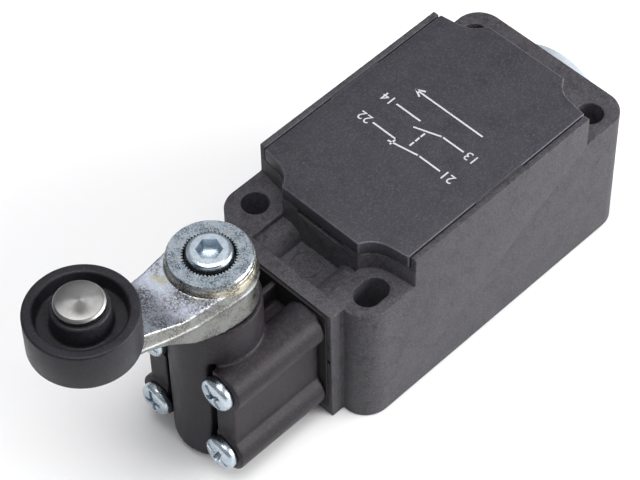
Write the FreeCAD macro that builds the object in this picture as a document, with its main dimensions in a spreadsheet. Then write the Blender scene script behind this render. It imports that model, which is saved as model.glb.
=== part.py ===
import FreeCAD, Part
import math
import os
import Sketcher
from FreeCAD import Placement, Rotation, Vector

# Limit switch with a sprung roller lever, in an enclosure with a 30 x 60 mm hole pattern.
# Millimetres. Origin: centre of the hole pattern on the mounting face.
# +Z leaves the mounting face towards the cover, +Y runs towards the head.

doc = FreeCAD.newDocument("limit_switch")
sheet = doc.addObject("Spreadsheet::Sheet", "dims")

DRIVING = [
    ("body_width", 40, "enclosure width"),
    ("body_length", 72.8, "enclosure length without the collar"),
    ("ear_height", 30.5, "height of the mounting ears"),
    ("ear_radius", 5.3, "vertical corner radius"),
    ("rim_height", 34.7, "top of the walls under the cover"),
    ("hinge_relief", 0.4, "how far the cable end wall is lowered for the cover to swing"),
    ("hole_pitch_x", 30, "mounting holes, across"),
    ("hole_pitch_y", 60, "mounting holes, along"),
    ("hole_radius", 2.65, "mounting holes"),
    ("slot_length", 7.3, "one mounting hole is this long"),
    ("notch_radius", 5.6, "screwdriver room round each mounting hole"),
    ("rail_inner", 18.65, "inner face of the side rails beside the cover"),
    ("rail_reach", 23.6, "half length of the side rails"),
    ("cover_top", 38, "top of the cover and rails"),
    ("cover_half_width", 18.4, "half width of the cover"),
    ("cover_half_length", 28, "half length of the cover"),
    ("cover_plate", 2, "thickness of the cover's top"),
    ("cover_wall", 1.2, "thickness of the cover's skirt"),
    ("cover_joint", 0.15, "gap between the skirt and the enclosure"),
    ("gasket_width", 1.4, "width of the cover gasket"),
    ("floor_thick", 3, "enclosure floor"),
    ("cavity_half_width", 15.6, "inside of the enclosure"),
    ("cavity_half_length", 25.2, "inside of the enclosure"),
    ("post_radius", 8.4, "material round each mounting hole inside"),
    ("collar_half_width", 14, "head flange of the enclosure"),
    ("collar_face", 39.4, "front face of the collar"),
    ("pocket_half_width", 9.65, "pocket between the ears"),
    ("pocket_back", 28, "pocket wall under the cover"),
    ("pocket_front", 36, "pocket wall beside the head"),
    ("pocket_floor", 26.2, "pocket floor"),
    ("entry_radius", 9.2, "core radius of the M20 cable entry"),
    ("entry_height", 15.25, "cable entry axis above the mounting face"),
    ("drive_height", 16.4, "plunger axis above the mounting face"),
    ("screw_pitch_x", 17.3, "head screws, across"),
    ("screw_pitch_z", 18.4, "head screws, up"),
    ("screw_radius", 1.95, "head screw shank"),
    ("screw_head_radius", 3.45, "head screw pan head"),
    ("screw_head_height", 2.1, "head screw pan head"),
    ("screw_depth", 9, "thread engagement in the collar"),
    ("screw_clearance", 2.15, "clearance holes for the head screws"),
    ("gasket_thick", 0.5, "head gasket"),
    ("shaft_centre", 54.8, "lever shaft axis from the origin"),
    ("head_radius", 8.9, "upright barrel of the head"),
    ("head_bottom", 1.5, "underside of the head barrel"),
    ("head_top", 39.2, "top of the head barrel"),
    ("groove_inner", 5.4, "groove between the barrel and a side plate, barrel side"),
    ("groove_outer", 6.6, "groove between the barrel and a side plate, plate side"),
    ("groove_back", 59.6, "bottom of that groove"),
    ("plate_face", 61.6, "front face of the side plates"),
    ("plate_half_width", 11.3, "side plates"),
    ("plate_half_height", 13, "side plates, from the plunger axis"),
    ("boss_radius", 4.6, "screw bosses of the head"),
    ("boss_face", 62, "front face of the screw bosses"),
    ("plunger_bore", 3.35, "bore that guides the plunger"),
    ("plunger_room", 5.6, "bore of the head round the plunger"),
    ("plunger_tube", 7.2, "outside of the head round the plunger"),
    ("shaft_radius", 4, "lever shaft journals"),
    ("running_gap", 0.04, "radial clearance of running fits"),
    ("bush_radius", 6.25, "outside of the shaft bush and the bore that holds it"),
    ("cam_radius", 5.9, "cam on the lever shaft"),
    ("cam_flat", 3.4, "flat of the cam from the shaft axis"),
    ("hub_radius", 8.6, "lever hub"),
    ("hub_bottom", 39.6, "underside of the lever hub"),
    ("arm_top", 48.7, "top of the lever arm at the hub"),
    ("collar_top", 50.1, "top of the boss under the serrated ring"),
    ("ring_radius", 7.8, "serrated ring"),
    ("ring_top", 50.9, "top of the serrated ring"),
    ("spline_radius", 4.6, "splined end of the shaft in the lever hub"),
    ("lever_length", 28.85, "shaft axis to roller axis"),
    ("tip_radius", 5.3, "roller end of the lever arm"),
    ("tip_top", 52.8, "top of the lever arm at the roller"),
    ("tip_bottom", 48.4, "underside of the lever arm at the roller"),
    ("roller_radius", 10.03, "roller"),
    ("roller_bottom", 53.4, "roller rim, lower edge"),
    ("roller_top", 61.9, "roller rim, upper edge"),
    ("axle_radius", 3, "roller axle"),
    ("axle_head_radius", 4.53, "head of the roller axle"),
    ("axle_top", 64.8, "top of the roller axle"),
    ("block_back", -4, "contact block, cable end"),
    ("block_front", 24.4, "contact block, head end"),
    ("block_half_width", 14.4, "contact block"),
    ("block_split", 12.9, "joint between the contact block's base and cap"),
    ("block_top", 24, "top of the contact block"),
    ("block_screw_x", 11.6, "contact block screws, across"),
    ("block_screw_y", 10, "contact block screws, along"),
    ("block_screw_radius", 1.25, "contact block screw shank"),
    ("contact_x", 8.6, "fixed contacts, across"),
    ("closed_bridge", 16, "bridge that rests closed"),
    ("open_bridge", 6, "bridge that rests open"),
    ("slider_half", 3, "half width of the contact slider"),
]

for row, (alias, size, note) in enumerate(DRIVING, 1):
    sheet.set(f"A{row}", alias)
    sheet.set(f"B{row}", str(size))
    sheet.set(f"C{row}", note)
    sheet.setAlias(f"B{row}", alias)
doc.recompute()


class Dim:
    """A length that knows its value and the spreadsheet expression it comes from."""

    def __init__(self, value, words):
        self.value = float(value)
        self.words = words

    def __add__(self, other):
        return Dim(self.value + number(other), f"({self.words} + {spelled(other)})")

    def __radd__(self, other):
        return Dim(number(other) + self.value, f"({spelled(other)} + {self.words})")

    def __sub__(self, other):
        return Dim(self.value - number(other), f"({self.words} - {spelled(other)})")

    def __rsub__(self, other):
        return Dim(number(other) - self.value, f"({spelled(other)} - {self.words})")

    def __mul__(self, other):
        return Dim(self.value * number(other), f"({self.words} * {spelled(other)})")

    __rmul__ = __mul__

    def __truediv__(self, other):
        return Dim(self.value / number(other), f"({self.words} / {spelled(other)})")

    def __neg__(self):
        return Dim(-self.value, f"(0 - {self.words})")


def number(item):
    return item.value if isinstance(item, Dim) else float(item)


def spelled(item):
    return item.words if isinstance(item, Dim) else repr(round(float(item), 6))


class Dims:
    """Every alias of the sheet as an attribute."""


d = Dims()
for alias, size, note in DRIVING:
    setattr(d, alias, Dim(sheet.get(alias), f"dims.{alias}"))


# ---------------------------------------------------------------- helpers

def drive(item, prop, size):
    if isinstance(size, Dim):
        item.setExpression(prop, size.words)
    else:
        setattr(item, prop, size)


def place(item, x=0, y=0, z=0, rotation=None):
    item.Placement = Placement(Vector(number(x), number(y), number(z)), rotation or Rotation())
    for axis, size in (("x", x), ("y", y), ("z", z)):
        if isinstance(size, Dim):
            item.setExpression(f"Placement.Base.{axis}", size.words)
    return item


ALONG = {"x": Rotation(Vector(0, 1, 0), 90), "y": Rotation(Vector(1, 0, 0), -90), "z": Rotation()}


def box(name, x, y, z):
    item = doc.addObject("Part::Box", name)
    for prop, (low, high) in zip(("Length", "Width", "Height"), (x, y, z)):
        drive(item, prop, high - low)
    return place(item, x[0], y[0], z[0])


def cylinder(name, axis, radius, centre, span):
    item = doc.addObject("Part::Cylinder", name)
    drive(item, "Radius", radius)
    drive(item, "Height", span[1] - span[0])
    corner = list(centre)
    corner.insert("xyz".index(axis), span[0])
    return place(item, *corner, rotation=ALONG[axis])


def fuse(name, *items):
    item = doc.addObject("Part::MultiFuse", name)
    item.Shapes = list(items)
    return item


def common(name, *items):
    item = doc.addObject("Part::MultiCommon", name)
    item.Shapes = list(items)
    return item


def cut(name, base, *tools):
    item = doc.addObject("Part::Cut", name)
    item.Base = base
    item.Tool = tools[0] if len(tools) == 1 else fuse(name + "_tools", *tools)
    return item


def rounded(name, base, radius, chosen):
    doc.recompute()
    item = doc.addObject("Part::Fillet", name)
    item.Base = base
    item.Edges = [(i, number(radius), number(radius))
                  for i, edge in enumerate(base.Shape.Edges, 1) if chosen(edge)]
    return item


def upright(edge):
    line = edge.Vertexes[-1].Point - edge.Vertexes[0].Point
    return line.Length > 1 and abs(line.z) > 0.999 * line.Length


def pin(sketch, kind, index, size):
    """Fixes one coordinate of a line's start point from the sketch origin."""
    if abs(number(size)) < 1e-9:
        axis_line = -2 if kind == "DistanceX" else -1
        sketch.addConstraint(Sketcher.Constraint("PointOnObject", index, 1, axis_line))
        return
    place_in_list = sketch.addConstraint(Sketcher.Constraint(kind, -1, 1, index, 1, number(size)))
    if isinstance(size, Dim):
        sketch.setExpression(f"Constraints[{place_in_list}]", size.words)


def polygon(sketch, points):
    """A closed outline of straight lines through points driven by the sheet."""
    for (u, v), (p, q) in zip(points, points[1:] + points[:1]):
        start, end = Vector(number(u), number(v), 0), Vector(number(p), number(q), 0)
        sketch.addGeometry(Part.LineSegment(start, end), False)
    for index, (u, v) in enumerate(points):
        sketch.addConstraint(Sketcher.Constraint("Coincident", (index - 1) % len(points), 2, index, 1))
        pin(sketch, "DistanceX", index, u)
        pin(sketch, "DistanceY", index, v)


def plane_of(body, role):
    return next(item for item in body.Origin.OriginFeatures if item.Role == role)


def revolved(node, profile, centre=(0, 0), axis="z", base=0):
    """A turned body: profile is (radius, height) pairs, centre lies across the axis."""
    body = doc.addObject("PartDesign::Body", node + "_body")
    sketch = body.newObject("Sketcher::SketchObject", node + "_profile")
    sketch.AttachmentSupport = [(plane_of(body, "XZ_Plane"), "")]
    sketch.MapMode = "FlatFace"
    polygon(sketch, profile)
    turned = body.newObject("PartDesign::Revolution", node + "_turned")
    turned.Profile = sketch
    turned.ReferenceAxis = (sketch, ["V_Axis"])
    turned.Angle = 360
    sketch.Visibility = False
    corner = list(centre)
    corner.insert("xyz".index(axis), base)
    place(body, *corner, rotation=ALONG[axis])
    return body


def plan_outline(name, half_width, half_length, notch, side_reach, level):
    """The cover's outline: straight ends, a notch round each mounting hole, straight sides."""
    sketch = doc.addObject("Sketcher::SketchObject", name)
    hole_x, hole_y = d.hole_pitch_x / 2, d.hole_pitch_y / 2
    hw, hl, r, reach = (number(item) for item in (half_width, half_length, notch, side_reach))
    hx, hy = number(hole_x), number(hole_y)
    end_x = hx - math.sqrt(r * r - (hy - hl) ** 2)
    gap = math.hypot(hw - hx, reach - hy)
    lean = math.atan2(reach - hy, hw - hx) - math.acos(r / gap)
    touch = (hx + r * math.cos(lean), hy + r * math.sin(lean))
    quarters = []
    for sx, sy in ((1, 1), (-1, 1), (-1, -1), (1, -1)):
        centre = Vector(sx * hx, sy * hy, 0)
        start = math.atan2(sy * (hl - hy), sx * (end_x - hx))
        stop = math.atan2(sy * (touch[1] - hy), sx * (touch[0] - hx))
        forward = sx * sy > 0
        circle = Part.Circle(centre, Vector(0, 0, 1), r)
        arc = Part.ArcOfCircle(circle, start, stop) if forward else Part.ArcOfCircle(circle, stop, start)
        arc_index = sketch.addGeometry(arc, False)
        arc_end, arc_side = (1, 2) if forward else (2, 1)
        slant = sketch.addGeometry(Part.LineSegment(Vector(sx * touch[0], sy * touch[1], 0),
                                                    Vector(sx * hw, sy * reach, 0)), False)
        sketch.addConstraint(Sketcher.Constraint("Tangent", arc_index, arc_side, slant, 1))
        for kind, size in (("DistanceX", sx * hole_x), ("DistanceY", sy * hole_y)):
            at = sketch.addConstraint(Sketcher.Constraint(kind, -1, 1, arc_index, 3, number(size)))
            sketch.setExpression(f"Constraints[{at}]", size.words)
        at = sketch.addConstraint(Sketcher.Constraint("Radius", arc_index, r))
        sketch.setExpression(f"Constraints[{at}]", spelled(notch))
        for kind, size in (("DistanceX", sx * half_width), ("DistanceY", sy * side_reach)):
            at = sketch.addConstraint(Sketcher.Constraint(kind, -1, 1, slant, 2, number(size)))
            sketch.setExpression(f"Constraints[{at}]", spelled(size))
        at = sketch.addConstraint(Sketcher.Constraint("DistanceY", -1, 1, arc_index, arc_end, sy * hl))
        sketch.setExpression(f"Constraints[{at}]", spelled(sy * half_length))
        quarters.append((arc_index, arc_end, slant, (sx * end_x, sy * hl), (sx * hw, sy * reach)))
    for near, far, by_end in ((0, 1, True), (1, 2, False), (2, 3, True), (3, 0, False)):
        a, b = quarters[near], quarters[far]
        ends = (a[3], b[3]) if by_end else (a[4], b[4])
        line = sketch.addGeometry(Part.LineSegment(Vector(*ends[0], 0), Vector(*ends[1], 0)), False)
        joins = ((a[0], a[1]), (b[0], b[1])) if by_end else ((a[2], 2), (b[2], 2))
        for point, (item, end) in enumerate(joins, 1):
            sketch.addConstraint(Sketcher.Constraint("Coincident", line, point, item, end))
    return place(sketch, z=level)


def raised(name, sketch, height, direction=Vector(0, 0, 1)):
    item = doc.addObject("Part::Extrusion", name)
    item.Base = sketch
    item.DirMode = "Custom"
    item.Dir = direction
    drive(item, "LengthFwd", height)
    item.Solid = True
    return item


NODES = {}


def keep(node, *items):
    """Registers the object, or the group of separate solids, that makes a node."""
    item = items[0]
    if len(items) > 1:
        item = doc.addObject("Part::Compound", node + "_set")
        item.Links = list(items)
    item.Label = node
    NODES[node] = item
    return item


HOLES = [(sx, sy) for sx in (-1, 1) for sy in (-1, 1)]


# ---------------------------------------------------------------- enclosure

def screw_places():
    """Centres of the four head screws as (x, z)."""
    across, up = d.screw_pitch_x / 2, d.screw_pitch_z / 2
    return [(sx * across, d.drive_height + sz * up) for sx in (-1, 1) for sz in (-1, 1)]


def block_screw_places():
    return [(sx * d.block_screw_x, d.block_screw_y) for sx in (-1, 1)]


def make_enclosure():
    half_w, half_l = d.body_width / 2, d.body_length / 2
    shell = box("shell_block", (-half_w, half_w), (-half_l, half_l), (0, d.ear_height))
    shell = rounded("shell_round", shell, d.ear_radius, upright)
    outline = plan_outline("rim_outline", half_w, d.cover_half_length, d.notch_radius, d.rail_reach,
                           d.floor_thick)
    rim = raised("rim_block", outline, d.rim_height - d.floor_thick)
    rails = [box(f"rail_{side}", (x0, x1), (-d.rail_reach, d.rail_reach), (d.ear_height, d.cover_top))
             for side, x0, x1 in (("left", d.rail_inner, half_w), ("right", -half_w, -d.rail_inner))]
    collar = box("collar", (-d.collar_half_width, d.collar_half_width), (half_l - 2, d.collar_face),
                 (0, d.ear_height))
    solid = fuse("enclosure_solid", shell, rim, collar, *rails)

    cavity = plan_outline("cavity_outline", d.cavity_half_width, d.cavity_half_length, d.post_radius,
                          d.rail_reach - 3.2, d.floor_thick)
    tools = [raised("cavity", cavity, 40)]
    for sx, sy in HOLES:
        centre = (sx * d.hole_pitch_x / 2, sy * d.hole_pitch_y / 2)
        tools.append(cylinder("mounting_hole", "z", d.hole_radius, centre, (-1, d.cover_top)))
    slot_shift = (d.slot_length - 2 * d.hole_radius) / 2
    slot_x, slot_y = -d.hole_pitch_x / 2, d.hole_pitch_y / 2
    for side in (-1, 1):
        tools.append(cylinder("slot_end", "z", d.hole_radius, (slot_x, slot_y + side * slot_shift),
                              (-1, d.cover_top)))
    tools.append(box("slot_middle", (slot_x - d.hole_radius, slot_x + d.hole_radius),
                     (slot_y - slot_shift, slot_y + slot_shift), (-1, d.cover_top)))
    tools.append(cylinder("entry_bore", "y", d.entry_radius, (0, d.entry_height), (-half_l - 1, -20)))
    tools.append(cylinder("plunger_bore", "y", d.plunger_bore, (0, d.drive_height), (20, d.collar_face + 1)))
    for x, z in screw_places():
        tools.append(cylinder("screw_hole", "y", d.screw_radius, (x, z),
                              (d.collar_face - d.screw_depth, d.collar_face + 1)))
    tools.append(box("driver_slot", (-5.8, 5.8), (d.pocket_back - 1.2, d.pocket_back + 1),
                     (d.rim_height - 1.2, d.rim_height + 1)))
    tools.append(box("hinge_step", (-half_w, half_w), (-half_l, -d.cavity_half_length + 0.6),
                     (d.rim_height - d.hinge_relief, d.rim_height + 1)))
    tools.append(box("collar_slit", (-13.8, -12), (d.collar_face - 1.2, d.collar_face + 1), (15.9, 17)))

    pocket = box("pocket_space", (-d.pocket_half_width, d.pocket_half_width),
                 (d.pocket_back, d.pocket_front), (d.pocket_floor, d.ear_height + 1))
    roots = [cylinder("screw_root", "y", 3.9, (x, z), (d.pocket_back - 1, d.pocket_front + 1))
             for x, z in screw_places() if number(z) > 20]
    tools.append(cut("pocket", pocket, *roots))
    hollow = cut("enclosure_cut", solid, *tools)

    posts = [cut("block_post_cut", cylinder("block_post", "z", 3, (x, y), (d.floor_thick - 1, 7)),
                 cylinder("block_post_hole", "z", d.block_screw_radius, (x, y), (3.5, 8)))
             for x, y in block_screw_places()]
    keep("enclosure", fuse("enclosure_done", hollow, *posts))


def make_entry_plug():
    half_l = d.body_length / 2
    plug = revolved("entry_plug", [(0, 0), (8.9, 0), (9.1, 0.4), (9.1, 8.6), (13.2, 8.6), (13.2, 10.9),
                                   (12.7, 11.4), (0, 11.4)],
                    (0, d.entry_height), "y", -half_l + 8.1)
    plug.Placement.Rotation = Rotation(Vector(1, 0, 0), 90)
    driver = box("plug_driver_slot", (-6, 6), (-half_l - 4, -half_l - 1.8),
                 (d.entry_height - 0.9, d.entry_height + 0.9))
    core = cylinder("plug_core", "y", 6.6, (0, d.entry_height), (-half_l + 1, -half_l + 9))
    keep("entry_plug", cut("entry_plug_cut", plug, driver, core))
    seal = cylinder("entry_seal_disc", "y", 12.2, (0, d.entry_height), (-half_l - 0.5, -half_l))
    bore = cylinder("entry_seal_bore", "y", 9.15, (0, d.entry_height), (-half_l - 1, -half_l + 1))
    keep("entry_seal", cut("entry_seal_cut", seal, bore))


# ---------------------------------------------------------------- cover

def make_cover():
    low = d.rim_height + d.cover_joint
    reach = d.rail_reach + 0.24
    outer = raised("cover_block", plan_outline("cover_outline", d.cover_half_width, d.cover_half_length,
                                               d.notch_radius, reach, low), d.cover_top - low)
    inner = raised("cover_hollow", plan_outline(
        "cover_hollow_outline", d.cover_half_width - d.cover_wall, d.cover_half_length - d.cover_wall,
        d.notch_radius + d.cover_wall, reach - 0.86 * d.cover_wall, low - 1),
                   d.cover_top - d.cover_plate - low + 1)
    shell = cut("cover_shell", outer, inner)
    catch = box("cover_catch", (-4, 4), (23.6, 24.6), (31, d.cover_top - 1))
    lip = [box("cover_rib", (-12, 12), (y - 0.6, y + 0.6), (d.cover_top - d.cover_plate - 1.2,
                                                            d.cover_top - d.cover_plate + 0.5))
           for y in (-12, 0, 12)]
    keep("cover", fuse("cover_done", shell, catch, *lip))
    seat = d.cover_wall + 0.1
    ring = raised("gasket_block", plan_outline(
        "gasket_outline", d.cover_half_width - seat, d.cover_half_length - seat, d.notch_radius + seat,
        reach - 0.86 * seat, d.rim_height + 0.06), 1.1)
    seat = seat + d.gasket_width
    hole = raised("gasket_hollow", plan_outline(
        "gasket_hollow_outline", d.cover_half_width - seat, d.cover_half_length - seat,
        d.notch_radius + seat, reach - 0.86 * seat, d.rim_height - 1), 4)
    keep("cover_gasket", cut("cover_gasket_cut", ring, hole))


# ---------------------------------------------------------------- head

def make_head():
    back = d.collar_face + d.gasket_thick
    barrel = cylinder("head_barrel", "z", d.head_radius, (0, d.shaft_centre), (d.head_bottom, d.head_top))
    low, high = d.drive_height - d.plate_half_height, d.drive_height + d.plate_half_height
    plates = box("head_plates", (-d.plate_half_width, d.plate_half_width), (back, d.plate_face), (low, high))
    dip = box("head_dip", (-6.9, 6.9), (back - 1, 58.4), (d.drive_height + 8.4, high + 1))
    plates = cut("head_plates_cut", plates, dip)
    rib = box("head_rib", (-0.6, 0.6), (back, d.shaft_centre), (d.drive_height, 29.3))
    bosses = [cylinder("screw_boss", "y", d.boss_radius, (x, z), (back + 0.4, d.boss_face))
              for x, z in screw_places()]
    tube = cylinder("plunger_tube", "y", d.plunger_tube, (0, d.drive_height), (back, d.shaft_centre))
    solid = fuse("head_solid", barrel, plates, rib, tube, *bosses)
    tools = [cylinder("bush_bore", "z", d.bush_radius, (0, d.shaft_centre), (9.5, d.head_top + 1)),
             cylinder("journal_bore", "z", d.shaft_radius + d.running_gap, (0, d.shaft_centre),
                      (3.5, 10)),
             cylinder("plunger_room", "y", d.plunger_room, (0, d.drive_height), (back - 1, d.shaft_centre))]
    tools += [cylinder("screw_clearance", "y", d.screw_clearance, (x, z), (back - 1, d.boss_face + 1))
              for x, z in screw_places()]
    tools += [box("plate_groove", (x0, x1), (d.groove_back, d.boss_face + 2), (low - 1, high + 1))
              for x0, x1 in ((-d.groove_outer, -d.groove_inner), (d.groove_inner, d.groove_outer))]
    keep("head_housing", cut("head_cut", solid, *tools))

    pad = box("head_gasket_pad", (-13, 13), (d.collar_face, back), (2.8, 30))
    holes = [cylinder("gasket_screw_hole", "y", d.screw_clearance, (x, z), (d.collar_face - 1, back + 1))
             for x, z in screw_places()]
    holes.append(cylinder("gasket_bore", "y", 5, (0, d.drive_height), (d.collar_face - 1, back + 1)))
    keep("head_gasket", cut("head_gasket_cut", pad, *holes))


def make_head_screws():
    screws = []
    length = d.boss_face - d.collar_face + d.screw_depth - 0.5
    for index, (x, z) in enumerate(screw_places()):
        r, h = d.screw_head_radius, d.screw_head_height
        outline = [(0, -length), (d.screw_radius, -length), (d.screw_radius, 0), (r, 0),
                   (r, h * 0.45), (r - 0.5, h * 0.8), (r - 1.4, h), (0, h)]
        screw = revolved(f"head_screw_{index}", outline, (x, z), "y", d.boss_face)
        driver = box("head_screw_slot", (x - 0.5, x + 0.5), (d.boss_face + 1, d.boss_face + 4),
                     (z - 2.3, z + 2.3))
        cross = box("head_screw_cross", (x - 2.3, x + 2.3), (d.boss_face + 1, d.boss_face + 4),
                    (z - 0.5, z + 0.5))
        screws.append(cut(f"head_screw_{index}_cut", screw, driver, cross))
    keep("head_screws", *screws)


# ---------------------------------------------------------------- shaft, bush and seal

def at_shaft(node, profile):
    return revolved(node, profile, (0, d.shaft_centre), "z", 0)


def make_shaft():
    r, gap = d.shaft_radius, d.running_gap
    spline = d.spline_radius - 0.02
    turned = at_shaft("cam_shaft", [(0, 3.8), (r - 0.4, 3.8), (r, 4.2), (r, 10), (d.cam_radius, 10),
                                    (d.cam_radius, 23), (r, 23), (r, 39.9), (spline, 39.9), (spline, 47.1),
                                    (0, 47.1)])
    flat = box("cam_flat_cut", (-8, 8), (d.shaft_centre - 9, d.shaft_centre - d.cam_flat), (10.01, 22.99))
    thread = cylinder("shaft_thread", "z", 2.48, (0, d.shaft_centre), (32, 48))
    keep("cam_shaft", cut("cam_shaft_cut", turned, flat, thread))
    keep("shaft_bush", at_shaft("shaft_bush", [(r + gap, 23.4), (d.bush_radius, 23.4), (d.bush_radius, 36.2),
                                               (r + gap, 36.2)]))
    keep("bush_clip", at_shaft("bush_clip", [(r + 0.9, 36.2), (d.bush_radius, 36.2), (d.bush_radius, 36.9),
                                             (r + 0.9, 36.9)]))
    keep("shaft_seal", at_shaft("shaft_seal", [(r + 0.35, 36.9), (d.bush_radius, 36.9), (d.bush_radius, 38.9),
                                               (r + 1.2, 38.9), (r + 1.2, 37.6), (r + 0.35, 37.6)]))


# ---------------------------------------------------------------- lever and roller

def make_lever():
    hub, tip, reach = d.hub_radius, d.tip_radius, d.lever_length
    y0 = d.shaft_centre
    sketch = doc.addObject("Sketcher::SketchObject", "arm_outline")
    lean = math.asin((number(hub) - number(tip)) / number(reach))
    side = {1: lean, -1: math.pi - lean}
    yh, yt = number(y0), number(y0 + reach)
    big = sketch.addGeometry(Part.ArcOfCircle(Part.Circle(Vector(0, yh, 0), Vector(0, 0, 1), number(hub)),
                                              side[-1], side[1] + 2 * math.pi), False)
    small = sketch.addGeometry(Part.ArcOfCircle(Part.Circle(Vector(0, yt, 0), Vector(0, 0, 1), number(tip)),
                                                side[1], side[-1]), False)
    for turn, big_end, small_end in ((side[1], 2, 1), (side[-1], 1, 2)):
        ray = Vector(math.cos(turn), math.sin(turn), 0)
        line = sketch.addGeometry(Part.LineSegment(Vector(0, yh, 0) + ray * number(hub),
                                                   Vector(0, yt, 0) + ray * number(tip)), False)
        sketch.addConstraint(Sketcher.Constraint("Tangent", line, 1, big, big_end))
        sketch.addConstraint(Sketcher.Constraint("Tangent", line, 2, small, small_end))
    for item, centre, radius in ((big, y0, hub), (small, y0 + reach, tip)):
        sketch.addConstraint(Sketcher.Constraint("PointOnObject", item, 3, -2))
        for kind, args, size in (("DistanceY", (-1, 1, item, 3), centre), ("Radius", (item,), radius)):
            at = sketch.addConstraint(Sketcher.Constraint(kind, *args, number(size)))
            sketch.setExpression(f"Constraints[{at}]", spelled(size))
    plan = raised("arm_plan", sketch, 60)

    side_view = doc.addObject("Sketcher::SketchObject", "arm_side_view")
    end = y0 + reach + tip + 1
    polygon(side_view, [(y0 - hub - 1, d.hub_bottom), (y0 + 4.5, d.hub_bottom), (y0 + 10.5, d.hub_bottom + 2),
                        (y0 + 16, d.tip_bottom - 2.6), (y0 + 22, d.tip_bottom), (end, d.tip_bottom),
                        (end, d.tip_top), (y0 + 23.5, d.tip_top), (y0 + 12, d.arm_top),
                        (y0 - hub - 1, d.arm_top)])
    place(side_view, x=-20, rotation=Rotation(Vector(1, 1, 1), 120))
    slab = raised("arm_slab", side_view, 40, Vector(1, 0, 0))
    slab = rounded("arm_slab_round", slab, 9, lambda e: abs(e.Vertexes[0].Y - e.Vertexes[-1].Y) < 1e-6
                   and number(y0) + 2 < e.Vertexes[0].Y < number(y0) + 24
                   and abs(e.Vertexes[0].Z - e.Vertexes[-1].Z) < 1e-6)
    arm = common("arm_body", plan, slab)
    boss = cylinder("ring_seat", "z", d.ring_radius + 0.15, (0, y0), (d.hub_bottom + 1, d.collar_top))
    arm = fuse("arm_with_boss", arm, boss)
    arm = cut("arm_bored", arm,
              cylinder("spline_bore", "z", d.spline_radius, (0, y0), (30, 60)),
              cylinder("ring_counterbore", "z", 6.3, (0, y0), (47.2, 60)),
              cylinder("axle_rivet_bore", "z", 2.5, (0, y0 + reach), (40, 60)))
    keep("lever_arm", arm)


def make_ring():
    """Washer with a toothed bore that locks the lever to the shaft."""
    blank = at_shaft("serrated_ring", [(4.7, 47.3), (6.25, 47.3), (6.25, d.collar_top),
                                       (d.ring_radius, d.collar_top), (d.ring_radius, d.ring_top - 0.25),
                                       (d.ring_radius - 0.25, d.ring_top), (4.7, d.ring_top)])
    teeth, root, tip = 48, 5.08, 4.6
    points = []
    for step in range(2 * teeth + 1):
        radius = root if step % 2 else tip
        turn = math.pi * step / teeth
        points.append(Vector(radius * math.cos(turn), radius * math.sin(turn), 40))
    broach = doc.addObject("Part::Feature", "ring_broach")
    broach.Shape = Part.Face(Part.makePolygon(points)).extrude(Vector(0, 0, 20))
    place(broach, y=d.shaft_centre)
    keep("serrated_ring", cut("serrated_ring_cut", blank, broach))


def make_lever_screw():
    screw = at_shaft("lever_screw", [(0, 33), (2.45, 33), (2.45, 47.2), (4.2, 47.2), (4.2, 51.7), (3.6, 52.3),
                                     (0, 52.3)])
    socket = doc.addObject("Part::Prism", "hex_socket")
    socket.Polygon = 6
    socket.Circumradius = 4 / math.sqrt(3)
    socket.Height = 4
    place(socket, y=d.shaft_centre, z=49.6)
    keep("lever_screw", cut("lever_screw_cut", screw, socket))


def make_roller():
    y1 = d.shaft_centre + d.lever_length
    r, a = d.roller_radius, d.axle_radius
    low, top = d.roller_bottom, d.roller_top
    keep("roller", revolved("roller", [
        (a + 0.05, low), (5.2, low), (5.2, low + 2.6), (8, low + 2.6), (8.2, low), (r - 0.8, low),
        (r, low + 0.8), (r, top - 0.8), (r - 0.8, top), (8.2, top), (8, top - 3), (5.2, top - 3),
        (5.2, top + 1.3), (a + 0.05, top + 1.3)], (0, y1)))
    head = d.axle_head_radius
    keep("roller_axle", revolved("roller_axle", [
        (0, d.tip_bottom - 0.9), (3.1, d.tip_bottom - 0.9), (3.4, d.tip_bottom), (2.5, d.tip_bottom),
        (2.5, d.tip_top), (a, d.tip_top), (a, top + 1.5), (head, top + 1.5), (head, d.axle_top - 0.5),
        (head - 0.5, d.axle_top), (0, d.axle_top)], (0, y1)))
    keep("roller_washer", revolved("roller_washer", [
        (a + 0.05, d.tip_top), (5.1, d.tip_top), (5.1, d.tip_top + 0.5),
        (a + 0.05, d.tip_top + 0.5)], (0, y1)))


# ---------------------------------------------------------------- plunger and springs

def coil(name, radius, wire, turns, start, length, axis_height):
    """A compression spring along Y: a round wire swept on a helix."""
    helix = doc.addObject("Part::Helix", name + "_path")
    helix.Radius = radius
    helix.Pitch = number(length) / turns
    helix.Height = number(length)
    helix.SegmentLength = 0.5
    section = doc.addObject("Part::Circle", name + "_wire")
    section.Radius = wire
    section.Placement = Placement(Vector(radius, 0, 0), Rotation(Vector(1, 0, 0), 90))
    item = doc.addObject("Part::Sweep", name + "_coil")
    item.Sections = [section]
    doc.recompute()
    item.Spine = (helix, [f"Edge{i}" for i in range(1, len(helix.Shape.Edges) + 1)])
    item.Solid = True
    item.Frenet = True
    place(item, 0, start, axis_height, rotation=ALONG["y"])
    keep(name, item)


def make_plunger():
    rear, front = d.block_front + 0.15, d.shaft_centre - d.cam_radius - 0.35
    keep("plunger", revolved("plunger", [
        (0, rear), (2.4, rear), (2.4, rear + 4), (3.3, rear + 4), (3.3, 44.6), (5.2, 44.6), (5.2, front - 1),
        (4.4, front), (0, front)], (0, d.drive_height), "y", 0))
    coil("plunger_spring", 4.3, 0.3, 4, d.collar_face + 0.75, 44.6 - d.collar_face - 1.1, d.drive_height)


# ---------------------------------------------------------------- contact block

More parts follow.
